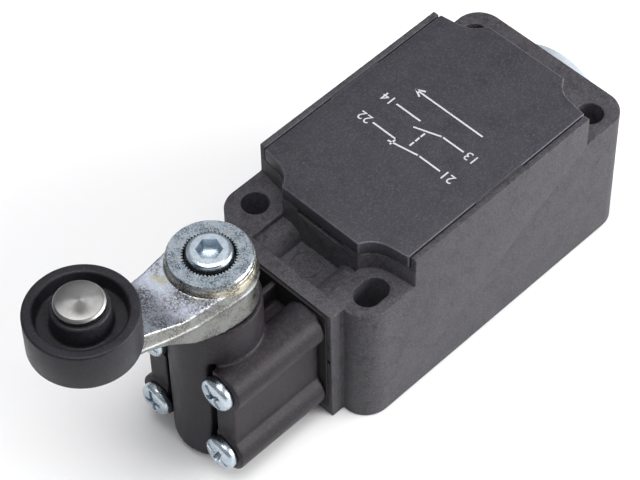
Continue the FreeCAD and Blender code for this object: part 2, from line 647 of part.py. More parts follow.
def contact_strips():
    """Each fixed contact: side, strip's low and high Y, plate's low and high Y, screw's Y."""
    closed, opened = d.closed_bridge + 0.6, d.open_bridge - 3.2
    strips = []
    for sx in (-1, 1):
        strips.append((sx, closed, closed + 0.8, closed, closed + 5.6, closed + 3.2))
        strips.append((sx, opened - 0.8, opened, opened - 5.6, opened, opened - 3.2))
    return strips


def make_contact_block():
    w, back, front, top = d.block_half_width, d.block_back, d.block_front, d.block_top
    half, mid = d.slider_half + 0.25, d.drive_height
    base = box("base_block", (-w, w), (back, front), (7.05, d.block_split))
    feet = [box("base_foot", (-w, w), (low, high), (d.floor_thick, 8))
            for low, high in ((back, 5.6), (14.4, front))]
    cap = box("cap_block", (-w, w), (back, front), (d.block_split, top))
    barrier = box("cap_barrier", (-4.4, 4.4), (back, front), (top - 1, top + 3.5))
    rooms = [box("slider_guide", (-half, half), (back + 1.5, front + 1), (mid - half, mid + half))]
    rooms += [box("bridge_room", (-11, 11), (y - 4.1, y + 1.5), (mid - 2.6, mid + 2.6))
              for y in (d.closed_bridge, d.open_bridge)]
    for sx, low, high, plate_low, plate_high, screw_y in contact_strips():
        x = sx * d.contact_x
        rooms.append(box("contact_slot", (x - 1.9, x + 1.9), (low - 0.05, high + 0.05), (mid - 2.6, top + 1)))
        rooms.append(cylinder("terminal_well", "z", 1.8, (x, screw_y), (top - 4.4, top + 1)))
    for x, y in block_screw_places():
        rooms.append(cylinder("block_screw_hole", "z", 1.5, (x, y), (2, top + 1)))
    for sx in (-1, 1):
        rooms.append(cylinder("post_relief", "z", d.post_radius + 0.25,
                              (sx * d.hole_pitch_x / 2, d.hole_pitch_y / 2), (1, top + 1)))
    cuts = fuse("block_rooms", *rooms)
    keep("contact_base", cut("contact_base_cut", fuse("contact_base_solid", base, *feet), cuts))
    keep("contact_cap", cut("contact_cap_cut", fuse("contact_cap_solid", cap, barrier), cuts))

    contacts, clamps, screws = [], [], []
    for index, (sx, low, high, plate_low, plate_high, screw_y) in enumerate(contact_strips()):
        x = sx * d.contact_x
        strip = box("contact_strip", (x - 1.8, x + 1.8), (low, high), (mid - 2.4, top + 0.8))
        plate = box("contact_plate", (x - 3, x + 3), (plate_low, plate_high), (top, top + 0.8))
        bore = cylinder("contact_bore", "z", 1.5, (x, screw_y), (top - 1, top + 2))
        contacts.append(cut("fixed_contact", fuse("contact_angle", strip, plate), bore))
        clamp = box("clamp_plate", (x - 2.8, x + 2.8), (screw_y - 2.2, screw_y + 2.2), (top + 0.8, top + 1.8))
        clamp_bore = cylinder("clamp_bore", "z", 1.5, (x, screw_y), (top, top + 3))
        clamps.append(cut("terminal_clamp", clamp, clamp_bore))
        screw = revolved(f"terminal_screw_{index}", [(0, -6), (1.45, -6), (1.45, 0), (2.6, 0), (2.6, 1.4),
                                                     (2.2, 1.9), (0, 1.9)], (x, screw_y), "z", top + 1.8)
        slot = box("terminal_screw_slot", (x - 2.7, x + 2.7), (screw_y - 0.4, screw_y + 0.4),
                   (top + 2.8, top + 5))
        screws.append(cut("terminal_screw", screw, slot))
    keep("fixed_contacts", *contacts)
    keep("terminal_clamps", *clamps)
    keep("terminal_screws", *screws)

    screws = []
    for index, (x, y) in enumerate(block_screw_places()):
        r = d.block_screw_radius - 0.02
        screw = revolved(f"block_screw_{index}", [(0, -19.5), (r, -19.5), (r, 0), (2.4, 0), (2.4, 1.2),
                                                  (1.9, 1.6), (0, 1.6)], (x, y), "z", top)
        slot = box("block_screw_slot", (x - 2.5, x + 2.5), (y - 0.35, y + 0.35), (top + 0.8, top + 3))
        screws.append(cut("block_screw", screw, slot))
    keep("block_screws", *screws)


def make_slider():
    half, mid, front = d.slider_half, d.drive_height, d.block_front
    rear = d.open_bridge - 5.5
    slider = box("slider_bar", (-half, half), (rear, front), (mid - half, mid + half))
    windows = [box("bridge_window", (-half - 1, half + 1), (y - 0.6, y + 0.6), (mid - 1.6, mid + 1.6))
               for y in (d.closed_bridge, d.open_bridge)]
    bore = cylinder("slider_spring_bore", "y", 2.1, (0, mid), (rear - 1, rear + 4.4))
    keep("contact_slider", cut("contact_slider_cut", slider, bore, *windows))
    keep("contact_bridges", *[box("contact_bridge", (-10, 10), (y - 0.5, y + 0.5), (mid - 1.5, mid + 1.5))
                              for y in (d.closed_bridge, d.open_bridge)])
    start = d.block_back + 1.5 + 0.3
    coil("contact_spring", 1.6, 0.2, 6, start, rear + 4 - start, mid)


# ---------------------------------------------------------------- build, check, write

make_enclosure()
make_entry_plug()
make_cover()
make_head()
make_head_screws()
make_shaft()
make_lever()
make_ring()
make_lever_screw()
make_roller()
make_plunger()
make_contact_block()
make_slider()
doc.recompute()

failed = [item.Name for item in doc.Objects if {"Invalid", "Error"} & set(item.State)]
if failed:
    raise RuntimeError("these objects did not build: " + ", ".join(failed))
for node, item in NODES.items():
    if item.Shape.isNull() or not item.Shape.isValid() or not item.Shape.Solids:
        raise RuntimeError(node + " is not a valid solid")

os.makedirs("parts", exist_ok=True)
for node, item in NODES.items():
    item.Shape.exportStep(f"parts/{node}.step")
    box_ = item.Shape.BoundBox
    print(f"{node:18s} solids {len(item.Shape.Solids)}  volume {item.Shape.Volume:9.1f} mm3"
          f"  x {box_.XMin:6.2f} {box_.XMax:6.2f}  y {box_.YMin:6.2f} {box_.YMax:6.2f}"
          f"  z {box_.ZMin:6.2f} {box_.ZMax:6.2f}")
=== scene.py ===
"""Limit switch with a sprung roller lever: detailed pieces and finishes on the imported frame."""
import math

import bpy
from mathutils import Matrix, Vector


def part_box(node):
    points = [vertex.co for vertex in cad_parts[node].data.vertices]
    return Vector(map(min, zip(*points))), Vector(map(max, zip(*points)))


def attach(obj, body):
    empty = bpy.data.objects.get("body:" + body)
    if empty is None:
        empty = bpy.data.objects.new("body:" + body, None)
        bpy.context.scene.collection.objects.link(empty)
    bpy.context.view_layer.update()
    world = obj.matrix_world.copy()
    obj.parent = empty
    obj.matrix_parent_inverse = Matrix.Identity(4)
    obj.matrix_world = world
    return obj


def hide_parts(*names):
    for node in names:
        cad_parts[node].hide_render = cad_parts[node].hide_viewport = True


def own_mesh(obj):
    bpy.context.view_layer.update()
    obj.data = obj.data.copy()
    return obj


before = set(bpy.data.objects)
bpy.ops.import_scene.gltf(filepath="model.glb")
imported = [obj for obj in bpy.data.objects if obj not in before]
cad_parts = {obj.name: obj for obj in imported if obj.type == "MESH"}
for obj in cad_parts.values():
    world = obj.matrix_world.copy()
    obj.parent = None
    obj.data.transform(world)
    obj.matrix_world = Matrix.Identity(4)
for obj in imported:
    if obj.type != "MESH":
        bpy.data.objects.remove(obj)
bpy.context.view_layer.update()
MM = 0.001
UP = Vector((0, 0, 1))


def selected_only(piece):
    bpy.ops.object.select_all(action="DESELECT")
    bpy.context.view_layer.objects.active = piece
    piece.select_set(True)


# ---------------------------------------------------------------- camera

CAMERA_PLACE = Vector((-218.578, 240.596, 410.739)) * MM
CAMERA_LOOK = Vector((0.44865, -0.43635, -0.77994))
CAMERA_ROLL = math.radians(-1.3123)
CAMERA_LENS = 149.16

bpy.ops.object.select_all(action="DESELECT")
bpy.ops.object.camera_add()
camera = bpy.context.object
camera.name = "studio_camera"
turn = CAMERA_LOOK.to_track_quat("-Z", "Y").to_matrix() @ Matrix.Rotation(CAMERA_ROLL, 3, "Z")
camera.matrix_world = Matrix.Translation(CAMERA_PLACE) @ turn.to_4x4()
camera.data.lens = CAMERA_LENS
camera.data.sensor_width = 36
camera.data.clip_start = 0.01
bpy.context.scene.camera = camera


# ---------------------------------------------------------------- finishes

def tint(red, green, blue):
    """A screen colour, 0 to 255, as the linear colour that a shader takes."""
    linear = []
    for part in (red, green, blue):
        part = part / 255
        linear.append(part / 12.92 if part <= 0.04045 else ((part + 0.055) / 1.055) ** 2.4)
    return (*linear, 1)


class Finish:
    """A Principled material whose patterns read the piece's own coordinates. Sizes are in mm."""

    def __init__(self, name, **uniform):
        self.material = bpy.data.materials.new(name)
        self.material.use_nodes = True
        self.tree = self.material.node_tree
        self.shader = self.tree.nodes["Principled BSDF"]
        for socket, value in uniform.items():
            self.shader.inputs[socket.replace("_", " ")].default_value = value
        self.place = self.tree.nodes.new("ShaderNodeTexCoord").outputs["Object"]

    def node(self, kind, inputs, **settings):
        made = self.tree.nodes.new("ShaderNode" + kind)
        for setting, value in settings.items():
            setattr(made, setting, value)
        for socket, value in inputs.items():
            if isinstance(value, bpy.types.NodeSocket):
                self.tree.links.new(value, made.inputs[socket])
            else:
                made.inputs[socket].default_value = value
        return made

    def stretched(self, x, y, z, centre=(0, 0, 0)):
        moved = self.node("Mapping", {"Vector": self.place, "Location": [-part * MM for part in centre]})
        return self.node("Mapping", {"Vector": moved.outputs["Vector"], "Scale": (x, y, z)}).outputs["Vector"]

    def noise(self, size, detail=3.0, roughness=0.55, place=None):
        return self.node("TexNoise", {"Vector": place or self.place, "Scale": 1 / (size * MM),
                                      "Detail": detail, "Roughness": roughness}).outputs["Fac"]

    def steps(self, source, *stops):
        """A ramp through (position, colour) stops."""
        ramp = self.node("ValToRGB", {"Fac": source})
        band = ramp.color_ramp.elements
        while len(band) < len(stops):
            band.new(0.5)
        for element, (position, colour) in zip(band, stops):
            element.position = position
            element.color = colour
        return ramp.outputs["Color"]

    def spread(self, source, low, high, to_low, to_high):
        return self.node("MapRange", {"Value": source, "From Min": low, "From Max": high,
                                      "To Min": to_low, "To Max": to_high}).outputs["Result"]

    def blended(self, share, first, second, blend="MIX"):
        made = self.node("Mix", {}, data_type="RGBA", blend_type=blend)
        for socket, value in ((made.inputs[0], share), (made.inputs[6], first), (made.inputs[7], second)):
            if isinstance(value, bpy.types.NodeSocket):
                self.tree.links.new(value, socket)
            else:
                socket.default_value = value
        return made.outputs[2]

    def relief(self, height, depth, strength=1.0, under=None):
        inputs = {"Height": height, "Distance": depth * MM, "Strength": strength}
        if under is not None:
            inputs["Normal"] = under
        return self.node("Bump", inputs).outputs["Normal"]

    def wear(self, **sources):
        """Links each source to the shader's socket of that name."""
        for socket, source in sources.items():
            self.tree.links.new(source, self.shader.inputs[socket.replace("_", " ")])
        return self.material


def moulded(name, dark, light, speck, rough, grain, mottle=2.4, streak=(1, 1, 0.35), gloss=0.4, fibre=0.3):
    """Moulded plastic: cloudy colour, fine fibre specks, a grained skin."""
    skin = Finish(name, Specular_IOR_Level=gloss)
    clouds = skin.noise(mottle, 6, 0.65, skin.stretched(*streak))
    fibres = skin.noise(fibre, 2, 0.7, skin.stretched(1, 0.6, 1))
    dust = skin.noise(0.3, 1, 0.5, skin.stretched(1, 1, 1, (5, 9, 14)))
    drift = skin.noise(mottle * 3.5, 3, 0.6, skin.stretched(1, 1, 1, (23, 7, 41)))
    body = skin.steps(clouds, (0.36, dark), (0.62, light))
    body = skin.blended(skin.spread(drift, 0.42, 0.62, 0, 0.7), body, light)
    body = skin.blended(skin.spread(fibres, 0.48, 0.74, 0, 0.8), body, speck)
    body = skin.blended(skin.spread(dust, 0.45, 0.30, 0, 0.7), body, dark)
    matt = skin.spread(clouds, 0.3, 0.7, rough - 0.06, rough + 0.06)
    bumps = skin.relief(fibres, grain, 0.6, skin.relief(dust, grain * 0.5, 0.5))
    return skin.wear(Base_Color=body, Roughness=matt, Normal=bumps)


def cast_zinc(name, base, shades, dark, painted_side_light, rough, patch, pit, pit_share):
    """Passivated zinc: drifting colours, frosted spots, fine dark pits, and a tint painted on faces that turn
    away from up: painted shade where it is darker than the base, painted reflection where it is lighter.
    """
    skin = Finish(name, Metallic=1.0)
    drift = skin.noise(patch, 3, 0.6)
    other = skin.noise(patch * 0.6, 2, 0.5, skin.stretched(1, 1, 1, (31, 17, 5)))
    body = skin.steps(drift, (0.34, shades[0]), (0.45, base), (0.56, shades[1]), (0.68, shades[2]))
    body = skin.blended(skin.spread(other, 0.4, 0.66, 0, 0.6), body, base)
    pits = skin.noise(pit, 3, 0.75)
    rough_patches = skin.noise(patch * 1.2, 3, 0.6, skin.stretched(1, 1, 1, (13, 29, 3)))
    share = skin.spread(pits, 0.58 - pit_share, 0.40 - pit_share, 0, 1)
    share = skin.node("Math", {0: share, 1: skin.spread(rough_patches, 0.40, 0.56, 0.25, 0.95)},
                      operation="MULTIPLY").outputs["Value"]
    frost = skin.noise(pit * 1.7, 2, 0.6, skin.stretched(1, 1, 1, (7, 3, 11)))
    facing = skin.node("NewGeometry", {}).outputs["Normal"]
    level = skin.node("SeparateXYZ", {"Vector": facing}).outputs["Z"]
    # Painted light: faces that turn away from up blend towards the painted side tint.
    body = skin.blended(skin.spread(level, 0.9, 0.5, 0, 0.85), body, painted_side_light)
    body = skin.blended(share, body, dark)
    matt = skin.spread(frost, 0.35, 0.65, rough - 0.10, rough + 0.12)
    bumps = skin.relief(pits, 0.012, 0.6, skin.relief(frost, 0.03, 0.3))
    return skin.wear(Base_Color=body, Roughness=matt, Normal=bumps)


def bright_metal(name, colour, shade, rough, patch, scratch=0.006):
    """Plated or drawn metal with soft clouds in its colour and hairline marks."""
    skin = Finish(name, Metallic=1.0)
    clouds = skin.noise(patch, 3, 0.55)
    lines = skin.noise(0.3, 2, 0.6, skin.stretched(1, 1, 6))
    body = skin.steps(clouds, (0.35, shade), (0.65, colour))
    matt = skin.spread(lines, 0.3, 0.7, rough - 0.05, rough + 0.07)
    return skin.wear(Base_Color=body, Roughness=matt, Normal=skin.relief(lines, scratch, 0.4))


def turned_steel(name, centre):
    """A faced end: fine rings round its centre, and light that fans out across them."""
    skin = Finish(name, Metallic=1.0, Anisotropic=0.85)
    place = skin.stretched(1, 1, 1, centre)
    rings = skin.node("TexWave", {"Vector": place, "Scale": 1 / (0.9 * MM), "Distortion": 0.6, "Detail": 2.0,
                                  "Detail Scale": 1.2}, wave_type="RINGS", rings_direction="Z").outputs["Fac"]
    clouds = skin.noise(1.1, 3, 0.6)
    body = skin.steps(clouds, (0.3, tint(138, 137, 136)), (0.7, tint(150, 149, 148)))
    body = skin.blended(skin.spread(rings, 0, 1, 0, 0.16), body, tint(116, 115, 114))
    matt = skin.spread(clouds, 0.3, 0.7, 0.32, 0.38)
    skin.tree.links.new(skin.node("Tangent", {}, direction_type="RADIAL", axis="Z").outputs["Tangent"],
                        skin.shader.inputs["Tangent"])
    return skin.wear(Base_Color=body, Roughness=matt, Normal=skin.relief(rings, 0.002, 0.3))


HOUSING = moulded("glass_filled_housing", tint(40, 38, 41), tint(64, 62, 66), tint(86, 84, 90),
                  rough=0.60, grain=0.03, mottle=1.1, streak=(1, 1, 0.6), gloss=0.3, fibre=0.34)
COVER = moulded("cover_plastic", tint(40, 39, 44), tint(51, 50, 56), tint(74, 73, 82),
                rough=0.50, grain=0.014, mottle=3.0, streak=(1, 1, 1), gloss=0.3, fibre=0.3)
# Painted highlight: a lighter plastic for the cover's bevel faces, so its edges read as lit lines.
COVER_EDGE_HIGHLIGHT = moulded("cover_painted_edge_highlight", tint(62, 61, 68), tint(74, 73, 80), tint(96, 95, 104),
                     rough=0.42, grain=0.01, mottle=3.0, streak=(1, 1, 1), gloss=0.4, fibre=0.3)
HEAD = moulded("head_plastic", tint(20, 18, 21), tint(35, 31, 36), tint(56, 51, 57),
               rough=0.46, grain=0.02, mottle=1.4, streak=(1, 1, 0.5), gloss=0.22, fibre=0.34)
ROLLER = moulded("roller_plastic", tint(25, 25, 28), tint(34, 34, 38), tint(50, 50, 56),
                 rough=0.42, grain=0.01, mottle=2.0, streak=(1, 1, 0.6), gloss=0.2, fibre=0.34)
BLOCK = moulded("contact_block_plastic", tint(58, 62, 66), tint(74, 78, 82), tint(96, 99, 104),
                rough=0.5, grain=0.012)
SLIDER = moulded("slider_plastic", tint(196, 190, 176), tint(212, 207, 194), tint(224, 220, 208),
                 rough=0.45, grain=0.008)
PLUG = moulded("plug_plastic", tint(158, 165, 172), tint(174, 181, 188), tint(190, 195, 202),
               rough=0.42, grain=0.01)
RUBBER = moulded("seal_rubber", tint(18, 18, 19), tint(25, 25, 26), tint(36, 36, 37), rough=0.72, grain=0.02)
PRINT = moulded("print_ink", tint(176, 177, 184), tint(190, 191, 198), tint(200, 201, 206),
                rough=0.6, grain=0.004)
# Lever zinc: its painted side tint is darker, painted shade on the arm's upright faces.
LEVER = cast_zinc("lever_zinc", tint(199, 208, 220),
                  (tint(190, 188, 170), tint(194, 196, 212), tint(180, 196, 212)),
                  dark=tint(86, 82, 80), painted_side_light=tint(124, 125, 116),
                  rough=0.36, patch=4.5, pit=0.34, pit_share=-0.03)
# Ring zinc: its painted side tint is a yellower painted light on the ring's upright faces.
RING = cast_zinc("ring_zinc", tint(172, 182, 190),
                 (tint(160, 166, 164), tint(170, 180, 192), tint(150, 162, 172)),
                 dark=tint(70, 78, 84), painted_side_light=tint(172, 172, 162),
                 rough=0.36, patch=1.8, pit=0.28, pit_share=-0.02)
# Boss zinc: the same zinc as the lever, with a lighter painted side tint, a painted reflection of the floor
# on the boss's upright side.
BOSS = cast_zinc("boss_zinc", tint(199, 208, 220),
                 (tint(190, 188, 170), tint(194, 196, 212), tint(180, 196, 212)),
                 dark=tint(96, 92, 84), painted_side_light=tint(206, 198, 172),
                 rough=0.32, patch=3.0, pit=0.34, pit_share=-0.06)
SCREW = bright_metal("zinc_plated_screw", tint(196, 206, 214), tint(172, 185, 196), rough=0.27, patch=1.2)
SHAFT = bright_metal("shaft_steel", tint(160, 162, 166), tint(136, 138, 144), rough=0.3, patch=2.0)
SPRING = bright_metal("spring_steel", tint(150, 152, 156), tint(118, 120, 126), rough=0.3, patch=0.8)
BRONZE = bright_metal("bush_bronze", tint(170, 126, 82), tint(146, 104, 66), rough=0.4, patch=1.8)
BRASS = bright_metal("contact_brass", tint(198, 166, 98), tint(174, 142, 82), rough=0.3, patch=1.6)


# ---------------------------------------------------------------- modelling helpers

AXES = {"Z": (Vector((1, 0, 0)), UP), "Y": (Vector((1, 0, 0)), Vector((0, 1, 0)))}


def settle(piece):
    """Puts the piece's place in its mesh, with doubles merged and every face outwards."""
    selected_only(piece)
    bpy.ops.object.transform_apply(location=True, rotation=True, scale=True)
    bpy.ops.object.mode_set(mode="EDIT")
    bpy.ops.mesh.select_all(action="SELECT")
    bpy.ops.mesh.remove_doubles(threshold=0.002 * MM)
    bpy.ops.mesh.normals_make_consistent(inside=False)
    bpy.ops.object.mode_set(mode="OBJECT")


def softened(piece, width, segments=3, angle=28, second_finish=False):
    """Rounds every edge sharper than the angle by a width in mm, in the second finish if there is one."""
    selected_only(piece)
    bevel = piece.modifiers.new("soft_edges", "BEVEL")
    bevel.material = 1 if second_finish else -1
    bevel.width = width * MM
    bevel.segments = segments
    bevel.limit_method = "ANGLE"
    bevel.angle_limit = math.radians(angle)
    bevel.use_clamp_overlap = False
    bevel.miter_outer = "MITER_ARC"
    bpy.ops.object.modifier_apply(modifier=bevel.name)
    return piece


def smooth(piece, angle=32):
    selected_only(piece)
    bpy.ops.object.shade_smooth_by_angle(angle=math.radians(angle))
    return piece


def carved(piece, cutter):
    """Takes the cutter's shape out of the piece."""
    selected_only(piece)
    cut = piece.modifiers.new("recess", "BOOLEAN")
    cut.operation = "DIFFERENCE"
    cut.solver = "EXACT"
    cut.object = cutter
    bpy.ops.object.modifier_apply(modifier=cut.name)
    bpy.data.objects.remove(cutter)
    return piece


def turned(name, profile, centre, axis="Z", steps=96):
    """Spins an outline of (radius, height) points, in mm, about an axis through the centre."""
    across, along = AXES[axis]
    origin = Vector(centre) * MM
    bpy.ops.object.select_all(action="DESELECT")
    (radius, height), rest = profile[0], profile[1:]
    bpy.ops.mesh.primitive_plane_add(size=MM, location=origin + (across * radius + along * height) * MM)
    piece = bpy.context.object
    piece.name = name
    bpy.ops.object.mode_set(mode="EDIT")
    bpy.ops.mesh.select_all(action="SELECT")
    bpy.ops.mesh.merge(type="CENTER")
    for next_radius, next_height in rest:
        step = (across * (next_radius - radius) + along * (next_height - height)) * MM
        bpy.ops.mesh.extrude_region_move(TRANSFORM_OT_translate={"value": step})
        radius, height = next_radius, next_height
    bpy.ops.mesh.select_all(action="SELECT")
    bpy.ops.mesh.spin(steps=steps, angle=2 * math.pi, center=origin, axis=along)
    bpy.ops.object.mode_set(mode="OBJECT")
    settle(piece)
    return piece


def block(name, low, high):
    """A box between two corners, in mm."""
    bpy.ops.object.select_all(action="DESELECT")
    low, high = Vector(low), Vector(high)
    bpy.ops.mesh.primitive_cube_add(size=1, location=(low + high) / 2 * MM)
    piece = bpy.context.object
    piece.name = name
    piece.scale = (high - low) * MM
    settle(piece)
    return piece


def joined(name, pieces):
    """Makes separate pieces one object."""
    bpy.ops.object.select_all(action="DESELECT")
    for piece in pieces:
        piece.select_set(True)
    bpy.context.view_layer.objects.active = pieces[0]
    bpy.ops.object.join()
    pieces[0].name = name
    return pieces[0]


def finished(piece, body, slot, finish, *nodes):
    """Gives the piece its finish unless it has its own, its body, and the nodes that it stands for."""
    if finish:
        piece.data.materials.clear()
        piece.data.materials.append(finish)
    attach(piece, body)
    if nodes:
        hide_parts(*nodes)
    return piece


def copy_of(node, name):
    """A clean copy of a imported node: doubles merged and flat faces joined."""
    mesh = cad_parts[node].data.copy()
    piece = bpy.data.objects.new(name, mesh)
    bpy.context.scene.collection.objects.link(piece)
    selected_only(piece)
    bpy.ops.mesh.customdata_custom_splitnormals_clear()
    bpy.ops.object.mode_set(mode="EDIT")
    bpy.ops.mesh.select_all(action="SELECT")
    bpy.ops.mesh.remove_doubles(threshold=0.001 * MM)
    bpy.ops.mesh.dissolve_limited(angle_limit=math.radians(0.5))
    bpy.ops.object.mode_set(mode="OBJECT")
    return piece


def low_high(node):
    """A node's corners in mm."""
    low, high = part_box(node)
    return low / MM, high / MM


def cast_copy(node, name, grain, passes):
    """A copy with the soft corners of a casting: remeshed finely, then relaxed."""
    piece = copy_of(node, name)
    selected_only(piece)
    remesh = piece.modifiers.new("even_skin", "REMESH")
    remesh.mode = "VOXEL"
    remesh.voxel_size = grain * MM
    bpy.ops.object.modifier_apply(modifier=remesh.name)
    relax = piece.modifiers.new("relaxed", "SMOOTH")
    relax.factor = 0.5
    relax.iterations = passes
    bpy.ops.object.modifier_apply(modifier=relax.name)
    bpy.ops.object.shade_smooth()
    return piece


# ---------------------------------------------------------------- enclosure and cover

enclosure = copy_of("enclosure", "enclosure_shell")
SLIT_SIDE = -13.8
SLIT_ROOM = 0.3
for corner in enclosure.data.vertices:
    x, y, z = corner.co / MM
    if abs(x - SLIT_SIDE) < 0.05 and y > 38 and 15.8 < z < 17.1:
        corner.co.x += SLIT_ROOM * MM
softened(enclosure, 0.22, 3)
POCKET_FLOOR = 26.2
EJECTOR_PLACE = (0.2, 31.3, 0)
EJECTOR_RADII = (2.9, 3.1)
groove_foot, groove_mouth = POCKET_FLOOR - 0.12, POCKET_FLOOR + 0.2
inside, outside = EJECTOR_RADII
ejector = turned("ejector_ring", [(inside, groove_foot), (outside, groove_foot), (outside, groove_mouth),
                                  (inside, groove_mouth), (inside, groove_foot)], EJECTOR_PLACE, "Z", 48)
carved(enclosure, ejector)
smooth(enclosure)
finished(enclosure, "switch_body", "housing_plastic", HOUSING, "enclosure")

cover = copy_of("cover", "cover_lid")
cover.data.materials.clear()
cover.data.materials.append(COVER)
# The second finish is the painted edge highlight, which the bevel faces take.
cover.data.materials.append(COVER_EDGE_HIGHLIGHT)
softened(cover, 0.24, 3, 28, True)
smooth(cover)
finished(cover, "cover", "cover_plastic", None, "cover")

cover_low, cover_high = low_high("cover")
TONGUE_HALF_LENGTH = 6.35
TONGUE_FOOT = 36.2
TONGUE_LEAN = 0.1
for side, name in ((-1, "cover_tongue_left"), (1, "cover_tongue_right")):
    inner, outer = side * (cover_high.x - 0.5), side * (cover_high.x + 0.2)
    tongue = block(name, (min(inner, outer), -TONGUE_HALF_LENGTH, TONGUE_FOOT),
                   (max(inner, outer), TONGUE_HALF_LENGTH, cover_high.z - 0.02))
    for corner in tongue.data.vertices:
        if corner.co.z > (TONGUE_FOOT + 1) * MM and abs(corner.co.x) > cover_high.x * MM:
            corner.co.x += side * TONGUE_LEAN * MM
    smooth(softened(tongue, 0.05, 2))
    finished(tongue, "cover", "cover_plastic", COVER)

MARK_THICKNESS = 0.025
STROKE = 0.36


def stroke(start, end):
    """A printed line on the cover between two points."""
    (x0, y0), (x1, y1) = start, end
    length = math.hypot(x1 - x0, y1 - y0) + STROKE
    line = block("mark", (-length / 2, -STROKE / 2, 0), (length / 2, STROKE / 2, MARK_THICKNESS))
    line.rotation_euler.z = math.atan2(y1 - y0, x1 - x0)
    line.location = Vector(((x0 + x1) / 2, (y0 + y1) / 2, cover_high.z - 0.005)) * MM
    settle(line)
    return line


def figure(words, x, y, height):
    """A printed terminal number."""
    bpy.ops.object.select_all(action="DESELECT")
    bpy.ops.object.text_add(location=Vector((x, y, cover_high.z + MARK_THICKNESS / 2)) * MM)
    text = bpy.context.object
    text.data.body = words
    text.data.align_x = "CENTER"
    text.data.align_y = "CENTER"
    text.data.size = height * MM
    text.data.extrude = MARK_THICKNESS / 2 * MM
    text.data.resolution_u = 4
    bpy.ops.object.convert(target="MESH")
    settle(bpy.context.object)
    return bpy.context.object


def contact_symbol(y, first, second, closed):
    """A contact as a wiring diagram draws it, between its two terminal numbers."""
    marks = [stroke((-8.4, y), (-3.2, y)), stroke((2.6, y), (8.4, y)), figure(first, -10.6, y, 3),
             figure(second, 10.6, y, 3)]
    if closed:
        marks += [stroke((2.6, y), (2.6, y + 1.5)), stroke((-3.2, y), (3.4, y + 1.2))]
    else:
        marks += [stroke((-3.2, y), (2.2, y + 1.9))]
    return marks


marks = contact_symbol(5.2, "21", "22", True) + contact_symbol(-1.2, "13", "14", False)
LINK_X = -0.3
marks += [stroke((LINK_X, y), (LINK_X, y + 0.8)) for y in (0.6, 2.1, 3.6)]
ARROW_TIP = (8.4, -6.4)
marks += [stroke((-8.4, -6.4), ARROW_TIP), stroke((6.9, -5.6), ARROW_TIP), stroke((6.9, -7.2), ARROW_TIP)]
finished(joined("contact_diagram", marks), "cover", "plug_plastic", PRINT)

plug = copy_of("entry_plug", "blanking_plug")
softened(plug, 0.25, 3)
smooth(plug)
finished(plug, "switch_body", "plug_plastic", PLUG, "entry_plug")


# ---------------------------------------------------------------- head

head = cast_copy("head_housing", "head_casting", 0.3, 3)
finished(head, "switch_body", "head_plastic", HEAD, "head_housing")


SCREW_SHANK = 1.95
SCREW_LENGTH = 31.1
SCREW_HEAD_RADIUS = 3.45
SCREW_HEAD_HEIGHT = 2.1


def pan_screw(name, x, z, face, turn_angle):
    """A pan-head screw that takes a blade or a cross driver."""
    edge, crown, tip = SCREW_HEAD_RADIUS, SCREW_HEAD_HEIGHT, -SCREW_LENGTH
    outline = [(0, tip), (SCREW_SHANK - 0.6, tip), (SCREW_SHANK, tip + 0.6), (SCREW_SHANK, -0.02),
               (edge - 0.2, 0), (edge, 0.2), (edge, 1.0), (edge - 0.08, 1.35), (edge - 0.3, 1.68),
               (edge - 0.75, 1.92), (edge - 1.6, 2.05), (0, crown)]
    piece = turned(name, outline, (x, face, z), "Y", 64)
    blade = block("blade_slot", (x - 2.75, face + 1.1, z - 0.42), (x + 2.75, face + 4, z + 0.42))
    wing = block("cross_wing", (x - 0.5, face + 0.75, z - 1.95), (x + 0.5, face + 4, z + 1.95))
    heart = turned("cross_heart", [(0, 0.35), (0.7, 0.7), (1.2, 3.5), (0, 3.5)], (x, face, z), "Y", 16)
    for cutter in (blade, wing, heart):
        selected_only(cutter)
        bpy.ops.object.mode_set(mode="EDIT")
        bpy.ops.mesh.select_all(action="SELECT")
        centre = Vector((x, face, z)) * MM
        bpy.ops.transform.rotate(value=turn_angle, orient_axis="Y", center_override=centre)
        bpy.ops.object.mode_set(mode="OBJECT")
        carved(piece, cutter)
    settle(piece)
    softened(piece, 0.06, 2, 40)
    smooth(piece, 35)
    return piece


screw_low, screw_high = low_high("head_screws")
screw_face = screw_high.y - SCREW_HEAD_HEIGHT
screw_half_x = screw_high.x - SCREW_HEAD_RADIUS
screw_half_z = (screw_high.z - screw_low.z) / 2 - SCREW_HEAD_RADIUS
SCREW_TURNS = {(-1, -1): 0.45, (-1, 1): 0.95, (1, -1): 1.35, (1, 1): 0.2}
screws = []
for (side, level), turn_angle in SCREW_TURNS.items():
    screw_z = (screw_low.z + screw_high.z) / 2 + level * screw_half_z
    screws.append(pan_screw("head_screw", side * screw_half_x, screw_z, screw_face, turn_angle))
finished(joined("head_screw_set", screws), "switch_body", "plated_screw", SCREW, "head_screws")


# ---------------------------------------------------------------- lever, ring and screw

shaft_low, shaft_high = low_high("cam_shaft")
shaft_x = (shaft_low.x + shaft_high.x) / 2
ring_low, ring_high = low_high("serrated_ring")
shaft_y = (ring_low.y + ring_high.y) / 2
axis_foot = (shaft_x, shaft_y, 0)

LEVER_REACH = 28.65
HUB_RADIUS = 8.6
TIP_RADIUS = 5.3
ARM_TOP = 48.7
BOSS_RADIUS = 7.97
PARTING = [(-9, 45.8), (0, 46.4), (10, 46.2), (16, 47.4), (22, 49.2), (35, 49.8)]
SIDE_LEAN = 0.3
RIB_STEP = 0.14
LOWER_STEP = 0.3


def eased(value, low, high):
    share = min(max((value - low) / (high - low), 0), 1)
    return share * share * (3 - 2 * share)


def parting_height(along):
    for (near, low), (far, high) in zip(PARTING, PARTING[1:]):
        if along <= far:
            return low + (high - low) * max(along - near, 0) / (far - near)
    return PARTING[-1][1]


